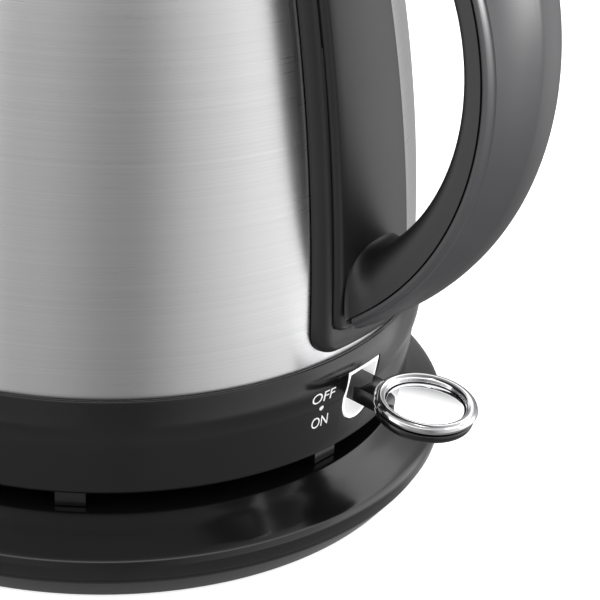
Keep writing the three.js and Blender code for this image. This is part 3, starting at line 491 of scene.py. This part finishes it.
def makePanel(panel, cover, marks):
    steps = sorted({round(v, 3) for v in marks})
    heights = [panel["low"] + d for d in steps]
    heights += levels(panel["low"] + steps[-1] + 2, panel["high"] - 1.5, 44)
    heights += [panel["high"] - 0.8, panel["high"] - 0.3, panel["high"]]
    sides = len(steps) + flatColumns
    bm = bmesh.new()
    bmesh.ops.create_grid(bm, x_segments=2 * sides, y_segments=len(heights) - 1, size=1)
    rows = len(heights) - 1
    home = {}
    for vert in bm.verts:
        home[vert] = (round((vert.co.x + 1) * sides), round((vert.co.y + 1) * rows / 2))
    sheet = bm.faces[:]
    where = {tuple(vert.co): vert for vert in bm.verts}
    pulled = bmesh.ops.extrude_face_region(bm, geom=sheet, use_keep_orig=True)["geom"]
    raised = {item for item in pulled if isinstance(item, bmesh.types.BMVert)}
    for vert in raised:
        home[vert] = home[where[tuple(vert.co)]]
    for vert, (column, row) in home.items():
        height = heights[row]
        width = rowWidth(height, panel)
        place = column - sides
        inward = abs(place)
        if inward > flatColumns:
            offset = width - steps[sides - inward]
        else:
            offset = max(width - steps[-1], 0) * inward / flatColumns
        y = math.copysign(max(offset, 0), place) if place else 0
        out = cover(y, height) if vert in raised else panel["under"]
        radius = bodyRadius(height) + out
        vert.co = (math.sqrt(max(radius ** 2 - y ** 2, 0)), y, height)
    return bm


def addPanel():
    edgeSteps = [0, 0.1, 0.3, 0.6, 1.0, 1.5, 2.2]

    def stripCover(y, height):
        rise = strip["under"] + (strip["proud"] - strip["under"]) * crowned(edgeDistance(y, height, strip),
                                                                            strip["edge"])
        inner = edgeDistance(y, height, spine) + pocket["gap"]
        return pocket["floor"] if inner > 0 else rise

    def spineCover(y, height):
        return spine["proud"] - 1.6 + 1.6 * crowned(edgeDistance(y, height, spine), spine["edge"])

    rim = 3.0
    bm = makePanel(strip, stripCover, edgeSteps + [rim - 0.35, rim - 0.05, rim + 0.02])
    finishPiece(bm, "handlePlate", "satinPlastic", "kettle", ["handle_plate"], 50)
    bm = makePanel(spine, spineCover, [0, 0.08, 0.25, 0.5, 0.8, 1.2, 1.6])
    return bm


# Handle.
handle = {
    "half": 11, "inner": (50, 121, 54.1), "joint": (39.7, 119, 70), "back": (41.8, 125.6, 78.3),
    "innerAngles": (-57.6, 79.9), "jointAngles": (-54.2, 78.7), "flare": 5.0, "flareReach": 5.5,
}


def onCircle(circle, angle):
    x, z, radius = circle
    return Vector((x + radius * math.cos(angle), 0, z + radius * math.sin(angle)))


def between(pair, share):
    return math.radians(pair[0] + (pair[1] - pair[0]) * share)


def handleStation(share):
    inner = onCircle(handle["inner"], between(handle["innerAngles"], share))
    joint = onCircle(handle["joint"], between(handle["jointAngles"], share))
    away = (joint - inner).normalized()
    return inner, joint, away


def backDistance(joint, away):
    x, z, radius = handle["back"]
    offset = Vector((joint.x - x, 0, joint.z - z))
    along = offset.dot(away)
    return -along + math.sqrt(along ** 2 - offset.length_squared + radius ** 2)


def flareAt(travel):
    left = max(1 - travel / handle["flareReach"], 0)
    return handle["flare"] * (1 - math.sqrt(1 - left ** 2))


def innerRing(share):
    inner, joint, away = handleStation(share)
    low = handleStation(0)[0]
    high = handleStation(1)[0]
    flare = flareAt((inner - low).length) + flareAt((inner - high).length)
    depth = (joint - inner).length - 0.2 + flare
    half = handle["half"] + flare * 0.52
    nearEnd = math.exp(-min((inner - low).length, (inner - high).length) / 16)
    power = 6.0 - 3.8 * nearEnd
    ring = []
    count = 36
    for i in range(count + 1):
        turn = math.pi * i / count
        c, s = math.cos(turn), math.sin(turn)
        y = half * math.copysign(abs(c) ** (2 / power), c)
        d = depth * abs(s) ** (2 / power)
        ring.append(joint - away * (0.2 + d) + Vector((0, y, 0)))
    # the flat face towards the outer cover
    for y in levels(half - 0.35, -(half - 0.35), 6)[::-1]:
        ring.append(joint - away * 0.15 + Vector((0, y, 0)))
    return ring


def coverRing(share):
    _, joint, away = handleStation(share)
    deep = backDistance(joint, away)
    crease = 2.2 + 0.3 * math.sin(math.pi * share)
    half = handle["half"]
    near = 0.15
    outline = [(half - 0.45, near), (half - 0.12, near + 0.1), (half, near + 0.45)]
    # the flank ends in a soft valley, then come a sloping facet, a ridge and the flat back
    outline += [(half + 0.05, crease * 0.5), (half - 0.2, crease * 0.7), (half - 0.65, crease * 0.88),
                (half - 1.0, crease + 0.05), (half - 1.1, crease + 0.35), (half - 0.95, crease + 0.7)]
    start, ridge = (half - 0.95, crease + 0.7), (4.4, crease + 0.88 * (deep - crease))
    for t in (0.15, 0.3, 0.5, 0.7, 0.85, 0.95):
        bulge = 0.35 * math.sin(math.pi * t)
        outline.append(tuple(a + (b - a) * t + bulge for a, b in zip(start, ridge)))
    outline += [ridge, (3.9, deep - 0.45), (3.2, deep - 0.28), (1.6, deep - 0.07), (0, deep)]
    right = [joint + away * d + Vector((0, y, 0)) for y, d in outline]
    left = [joint + away * d + Vector((0, -y, 0)) for y, d in reversed(outline[:-1])]
    bottom = [joint + away * near + Vector((0, y, 0)) for y in levels(-(half - 2), half - 2, 4)]
    return right + left + bottom


def addHandle():
    count = 110
    shares = levels(0, 1, count)
    for extra in (0.002, 0.004, 0.006, 0.012, 0.016, 0.02):
        shares += [extra, 1 - extra]
    shares = sorted(set(shares))
    loop = loft([innerRing(s) for s in shares])
    panel = addPanel()
    shell = joinMeshes(panel, loop)
    finishPiece(shell, "handleInnerShell", "satinPlastic", "kettle", ["handle_inner_shell"], 55)
    cover = loft([coverRing(s) for s in shares])
    finishPiece(cover, "handleOuterCover", "satinPlastic", "kettle", ["handle_outer_cover"], 50)


# Top: collar, lid, release, spout.
top = {"mouth": 41, "low": 189, "high": 208, "outer": 49.4, "skirt": 52.6, "channel": 46.2}
hinge = {"half": 7, "gap": 0.5, "earOut": 11.1}


def addCollar():
    edge = [(bodyRadius(z) + 0.3, z, 0) for z in (189, 191.4, 193.9, 196.3)]
    points = [(top["mouth"], 193, 0.3), (top["mouth"], top["high"], 1.2), (top["outer"], top["high"], 1.8),
              (top["skirt"], 190.8, 2.5), (top["skirt"] - 0.3, top["low"], 0.4), *edge,
              (top["channel"], 196.3, 0), (top["channel"], 193, 0.3)]
    bm = cutAway(lathe(points), roundedSlab((40.7, -7.5, 204.2), (56, 7.5, 216), 0.6))
    bm = cutAway(bm, roundedSlab((36, -3.5, 196.9), (56, 3.5, 200.5), 0.3))
    ears = []
    for side in (-1, 1):
        inner, outer = sorted((side * (hinge["half"] + hinge["gap"]), side * hinge["earOut"]))
        ears.append(roundedSlab((42.2, inner, 203), (51, outer, 213), 1.7, 5))
    finishPiece(joinMeshes(bm, *ears), "topCollar", "glossPlastic", "kettle", ["top_collar"], 40)


def addLid():
    low, brim, radius, rise = 208.3, 211.5, 46, 7.8
    sphere = (radius ** 2 + rise ** 2) / (2 * rise)
    dome = [(r, brim + rise - sphere + math.sqrt(sphere ** 2 - r ** 2), 0) for r in levels(0, 44.6, 16)]
    under = [(r, z - 2.2, 0) for r, z, _ in reversed(dome) if r < 43]
    points = dome + [(radius, brim + 0.1, 1.4), (radius - 0.3, low, 0.5), (radius - 2.2, low, 0.3)] + under
    bm = cutAway(lathe(points), roundedSlab((40.2, -11.6, 204), (52, 11.6, 222), 0.8))
    knuckle = roundedSlab((41.2, -7, 208.35), (49.6, 7, 212.5), 1.6, 5)
    arm = roundedSlab((38.2, -7, 209.8), (44.2, 7, 212.5), 0.5)
    finishPiece(joinMeshes(bm, knuckle, arm), "lidCover", "glossPlastic", "lid", ["lid_cover"], 40)
    pan = lathe([(0, 199, 0), (36.6, 199, 1.2), (39.9, 208, 0.6), (43, 208.4, 0.2), (43, 208.9, 0.2),
                 (38.6, 209.2, 0.8), (35.6, 200.4, 1.0), (0, 200.4, 0)])
    pan = cutAway(pan, roundedSlab((40.9, -11.4, 199), (50, 11.4, 209.6), 0.3))
    finishPiece(pan, "lidPan", "innerSteel", "lid", ["lid_pan"])
    seal = lathe([(39.15, 203, 0.1), (40.3, 203, 0.3), (40.6, 204, 0.4), (40.3, 205, 0.3), (39.9, 205, 0.1)])
    finishPiece(seal, "lidSeal", "silicone", "lid", ["lid_seal"])


def addRelease():
    cap = roundedSlab((60.05, -4.95, 190.1), (70.95, 4.95, 203.55), 1.5, 5)
    finishPiece(cap, "releaseButton", "glossPlastic", "button", ["release_button"])
    bolt = roundedSlab((40.4, -3, 197.4), (52, 3, 200), 0.5)
    finishPiece(bolt, "lidLatch", "darkPlastic", "latch", ["lid_latch"])


spout = {"low": 148, "high": 203, "reach": 84, "tip": 5, "wall": 1, "halfLow": 9, "halfHigh": 28}


def spoutRing(t, shrink, lift):
    height = spout["low"] + t * (spout["high"] - spout["low"])
    root = bodyRadius(height) - 4
    grown = t ** 0.8 * (spout["reach"] - bodyRadius(spout["high"]) + 2)
    reach = bodyRadius(height) - 2 + grown - shrink
    half = spout["halfLow"] + t * (spout["halfHigh"] - spout["halfLow"]) - shrink
    tip = spout["tip"] - shrink / 2
    nose = [math.radians(a) for a in levels(120, 240, 16)]
    bend = [(-(reach - tip) + tip * math.cos(a), tip * math.sin(a)) for a in nose]
    row = [(-root + 14, half), (-root, half), *bend, (-root, -half), (-root + 14, -half)]
    return [Vector((x, y, height + lift)) for x, y in row]


def addSpout():
    shares = levels(0, 1, 28)
    outside = loft([spoutRing(t, 0, 0) for t in shares])
    hollow = loft([spoutRing(t, spout["wall"], 0) for t in shares] + [spoutRing(1, spout["wall"], 4)])
    wall = [(bodyRadius(z) + 0.3, z, 0) for z in levels(140, 210, 24)]
    envelope = lathe([(0, 140, 0), *wall, (0, 210, 0)])
    collarRoom = lathe([(0, 188.7, 0), (53.2, 188.7, 0), (53.2, 212, 0), (0, 212, 0)])
    bm = cutAway(cutAway(cutAway(outside, hollow), envelope), collarRoom)
    finishPiece(bm, "spoutShell", "brushedSteel", "kettle", ["spout"], 40)


def addTop():
    addCollar()
    addLid()
    addRelease()
    addSpout()


# Small round pieces, underside and inside.
def crossScrew(headRadius, headDepth, shank, length):
    # head down, with a cross cut in it
    bm = lathe([(0, 0, 0), (headRadius * 0.7, 0, 0.1), (headRadius, headDepth * 0.55, 0.2),
                (headRadius, headDepth, 0.05), (shank, headDepth, 0), (shank, length, 0.3), (0, length, 0)], 40)
    for size in ((headRadius * 0.55, 0.28), (0.28, headRadius * 0.55)):
        bm = cutAway(bm, roundedSlab((-size[0], -size[1], -1), (size[0], size[1], headDepth * 0.7), 0.05, 1))
    return bm


def centreOf(node):
    low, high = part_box(node)
    return [(a + b) / 2 / mm for a, b in zip(low, high)], [v / mm for v in low], [v / mm for v in high]


def addScrewsAndFeet():
    for group, body in (("base_screw_", "base"), ("underside_screw_", "kettle")):
        for i in (1, 2, 3):
            middle, low, high = centreOf(group + str(i))
            bm = crossScrew(3, 0.9, 1.5, high[2] - low[2])
            bmesh.ops.translate(bm, vec=(middle[0], middle[1], low[2]), verts=bm.verts)
            name = group.replace("_", "") + "Piece" + str(i)
            finishPiece(bm, name, "springSteel", body, [group + str(i)])
    for name in ("handle_screw_lower", "handle_screw_upper"):
        middle, low, high = centreOf(name)
        bm = crossScrew(3, 1.4, 1.6, high[0] - low[0])
        sideways = Matrix.Rotation(math.radians(-90), 3, "Y")
        bmesh.ops.rotate(bm, cent=(0, 0, 0), matrix=sideways, verts=bm.verts)
        bmesh.ops.translate(bm, vec=(high[0], middle[1], middle[2]), verts=bm.verts)
        finishPiece(bm, name.replace("_", "") + "Piece", "springSteel", "kettle", [name])
    for i in (1, 2, 3, 4):
        middle, low, high = centreOf("base_foot_" + str(i))
        bm = lathe([(0, 0, 0), (5.2, 0, 0.2), (6.5, 0.6, 0.4), (6.5, 1.7, 0), (0, 1.7, 0)], 64)
        bmesh.ops.translate(bm, vec=(middle[0], middle[1], 0), verts=bm.verts)
        finishPiece(bm, "basePad" + str(i), "rubber", "base", ["base_foot_" + str(i)])


def addRoundParts():
    plug = lathe([(0, 13.7, 0), (24, 13.7, 0.4), (24, 17.7, 0.3), (18.5, 17.7, 0), (18.5, 35, 1.2),
                  (12.3, 35, 0.4), (12.3, 19, 0), (8.9, 19, 0), (8.9, 35, 0.4), (2.4, 35, 0.4),
                  (2.4, 19, 0), (0, 19, 0)])
    finishPiece(plug, "baseConnector", "darkPlastic", "base", ["base_connector"])
    cup = lathe([(20.2, 26, 0.3), (22.5, 26, 0.3), (22.5, 28.3, 0), (26.5, 28.3, 0.3), (26.5, 30.3, 0.3),
                 (22.5, 30.3, 0), (22.5, 39, 0.4), (0, 39, 0), (0, 36.5, 0), (20.2, 36.5, 0.4)])
    finishPiece(cup, "kettleSocket", "darkPlastic", "kettle", ["kettle_connector"])
    washer = lathe([(9.2, 21.2, 0.3), (12, 21.2, 0.3), (12, 24.4, 0.4), (9.2, 24.4, 0.4)], 96)
    finishPiece(washer, "connectorShutter", "satinPlastic", "swivel", ["connector_shutter"])
    contact = lathe([(10, 25, 0.2), (11.2, 25, 0.2), (11.2, 36.2, 0), (10, 36.2, 0)], 96)
    finishPiece(contact, "ringContact", "brass", "kettle", ["ring_contact"])
    pin = lathe([(0, 22.5, 0), (1.7, 22.5, 0.9), (1.7, 36.2, 0), (0, 36.2, 0)], 40)
    finishPiece(pin, "pinContact", "brass", "kettle", ["pin_contact"])
    gasket = lathe([(74, 45.9, 0.3), (76, 45.9, 0.3), (76, 46.9, 0.3), (74, 46.9, 0.3)])
    finishPiece(gasket, "bodySeal", "silicone", "kettle", ["body_seal"])
    floorPan = lathe([(0, 50, 0), (74.4, 50, 0.6), (74.9, 51.2, 0), (74.9, 56, 0.2), (74.1, 56, 0.2),
                      (74.1, 52, 1.0), (0, 51, 0)])
    tube = lathe([(0, 40, 0), (4.5, 40, 0), (4.5, 60, 0), (0, 60, 0)], 48)
    bmesh.ops.translate(tube, vec=(62, 0, 0), verts=tube.verts)
    finishPiece(cutAway(floorPan, tube), "vesselFloor", "innerSteel", "kettle", ["vessel_floor"])


# Parts drawn as they were packed.
keptFinish = {
    "cord_inlet": "rubber", "heater_plate": "aluminium", "heating_element": "innerSteel",
    "control_unit": "darkPlastic", "underside_plate": "glossPlastic", "switch_bracket": "darkPlastic",
    "switch_pin": "springSteel", "steam_tube": "darkPlastic", "bimetal_disc": "brass",
    "lid_pin": "springSteel", "spout_filter": "satinPlastic", "button_spring": "springSteel",
}


def finishKeptNodes():
    for name, finish in keptFinish.items():
        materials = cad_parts[name].data.materials
        materials.clear()
        materials.append(finishes[finish])


addVessel()
addRing()
addBase()
print("vessel and base made")
addSwitch()
addLiner()
addLabels()
print("switch made")
addHandle()
print("handle made")
addTop()
addScrewsAndFeet()
addRoundParts()
finishKeptNodes()


# Camera.
view = {"place": (0.34452, -0.41350, 0.30446), "down": 26.353, "yaw": 5.156, "roll": 2.564,
        "turn": 39.8, "lens": 144, "sensor": 36}


def addCamera():
    data = bpy.data.cameras.new("camera")
    data.lens = view["lens"]
    data.sensor_width = view["sensor"]
    camera = bpy.data.objects.new("camera", data)
    scene.collection.objects.link(camera)
    down, yaw, roll = (math.radians(view[key]) for key in ("down", "yaw", "roll"))
    forward = Vector((math.sin(yaw) * math.cos(down), math.cos(yaw) * math.cos(down), -math.sin(down)))
    right = Vector((math.cos(yaw), -math.sin(yaw), 0))
    up = right.cross(forward)
    across = right * math.cos(roll) + up * math.sin(roll)
    upright = up * math.cos(roll) - right * math.sin(roll)
    turn = Matrix.Rotation(math.radians(view["turn"]), 3, "Z")
    axes = Matrix((turn @ across, turn @ upright, turn @ -forward)).transposed()
    camera.matrix_world = Matrix.Translation(view["place"]) @ axes.to_4x4()
    scene.camera = camera


# Light: a bright room with a dark gap behind the camera.
def fillRamp(ramp, stops):
    ends = ramp.elements
    for element, (position, level) in zip((ends[0], ends[1]), (stops[0], stops[-1])):
        element.position = position
        element.color = (level, level, level, 1)
    for position, level in stops[1:-1]:
        ramp.elements.new(position).color = (level, level, level, 1)


def addWorld():
    world = bpy.data.worlds.new("studio")
    scene.world = world
    world.use_nodes = True
    tree = world.node_tree
    back = tree.nodes["Background"]
    place = addNode(tree, "ShaderNodeTexCoord")
    parts = addNode(tree, "ShaderNodeSeparateXYZ")
    tree.links.new(place.outputs["Generated"], parts.inputs["Vector"])
    angle = addNode(tree, "ShaderNodeMath", operation="ARCTAN2")
    tree.links.new(parts.outputs["Y"], angle.inputs[0])
    tree.links.new(parts.outputs["X"], angle.inputs[1])
    share = addNode(tree, "ShaderNodeMapRange", {"From Min": -math.pi, "From Max": math.pi})
    tree.links.new(angle.outputs["Value"], share.inputs["Value"])
    ramp = addNode(tree, "ShaderNodeValToRGB")
    ramp.color_ramp.interpolation = "EASE"
    # degrees round the object from the camera's direction, and how bright the room is there
    bands = [(-140, 0.8), (-110, 2.5), (-70, 2.4), (-48, 0.75), (-34, 0.47), (-22, 0.47), (-12, 0.39),
             (-1, 0.29), (8, 0.26), (13, 0.28), (20, 0.41), (31, 0.63), (43, 0.84), (54, 1.05), (66, 1.2),
             (84, 2.2), (112, 2.2), (128, 0.7), (145, 0.4), (180, 0.45)]
    cameraTurn = -50.2
    stops = sorted((((turn + cameraTurn + 180) % 360) / 360, level) for turn, level in bands)
    fillRamp(ramp.color_ramp, [(0, stops[0][1]), *stops, (1, stops[0][1])])
    tree.links.new(share.outputs["Result"], ramp.inputs["Fac"])
    sky = addNode(tree, "ShaderNodeMapRange", {"From Min": 0.42, "From Max": 0.52})
    tree.links.new(parts.outputs["Z"], sky.inputs["Value"])
    # one bright strip crosses the ceiling
    ceiling = addNode(tree, "ShaderNodeValToRGB")
    ceilingStops = [(0, 1.15), (0.55, 1.15), (0.61, 5.5), (0.68, 5.5), (0.74, 1.1), (0.95, 0.3), (1, 0.3)]
    fillRamp(ceiling.color_ramp, ceilingStops)
    tree.links.new(parts.outputs["Z"], ceiling.inputs["Fac"])
    blend = addNode(tree, "ShaderNodeMix", data_type="RGBA")
    tree.links.new(sky.outputs["Result"], blend.inputs["Factor"])
    tree.links.new(ramp.outputs["Color"], blend.inputs["A"])
    tree.links.new(ceiling.outputs["Color"], blend.inputs["B"])
    # the bench round the object is darker than the room
    ground = addRange(tree, parts.outputs["Z"], 0.3, 2.4)
    ground.inputs["From Min"].default_value = -0.62
    ground.inputs["From Max"].default_value = -0.2
    lower = addNode(tree, "ShaderNodeMix", data_type="RGBA", blend_type="DARKEN")
    lower.inputs["Factor"].default_value = 1
    tree.links.new(blend.outputs["Result"], lower.inputs["A"])
    tree.links.new(ground.outputs["Result"], lower.inputs["B"])
    seen = addNode(tree, "ShaderNodeLightPath")
    final = addNode(tree, "ShaderNodeMix", data_type="RGBA")
    tree.links.new(seen.outputs["Is Camera Ray"], final.inputs["Factor"])
    tree.links.new(lower.outputs["Result"], final.inputs["A"])
    final.inputs["B"].default_value = (1, 1, 1, 1)
    tree.links.new(final.outputs["Result"], back.inputs["Color"])
    back.inputs["Strength"].default_value = 1.0


def addLamp(name, place, target, size, power):
    data = bpy.data.lights.new(name, "AREA")
    data.shape = "RECTANGLE"
    data.size, data.size_y = size
    data.energy = power
    lamp = bpy.data.objects.new(name, data)
    scene.collection.objects.link(lamp)
    lamp.location = place
    lamp.rotation_euler = (Vector(target) - Vector(place)).to_track_quat("-Z", "Y").to_euler()
    lamp.visible_camera = False
    return lamp


def addFloor():
    bm = bmesh.new()
    bmesh.ops.create_grid(bm, x_segments=1, y_segments=1, size=3)
    mesh = bpy.data.meshes.new("floor")
    bm.to_mesh(mesh)
    bm.free()
    floor = bpy.data.objects.new("floor", mesh)
    scene.collection.objects.link(floor)
    material, _, skin = newMaterial("floor", (0.9, 0.9, 0.9), 0.9)
    skin.inputs["Emission Color"].default_value = (1, 1, 1, 1)
    skin.inputs["Emission Strength"].default_value = 0.75
    mesh.materials.append(material)
    floor.visible_glossy = False  # the metal mirrors the room, not the paper it stands on


addCamera()
addWorld()
addFloor()
handleLamp = addLamp("handleLamp", (0.95, -0.6, 0.72), (0.1, 0, 0.18), (0.35, 0.35), 105)
lit = bpy.data.collections.new("litByHandleLamp")  # only the handle's cover catches this lamp
lit.objects.link(bpy.data.objects["handleOuterCover"])
handleLamp.light_linking.receiver_collection = lit
scene.view_settings.view_transform = "Standard"
print("camera and light set")
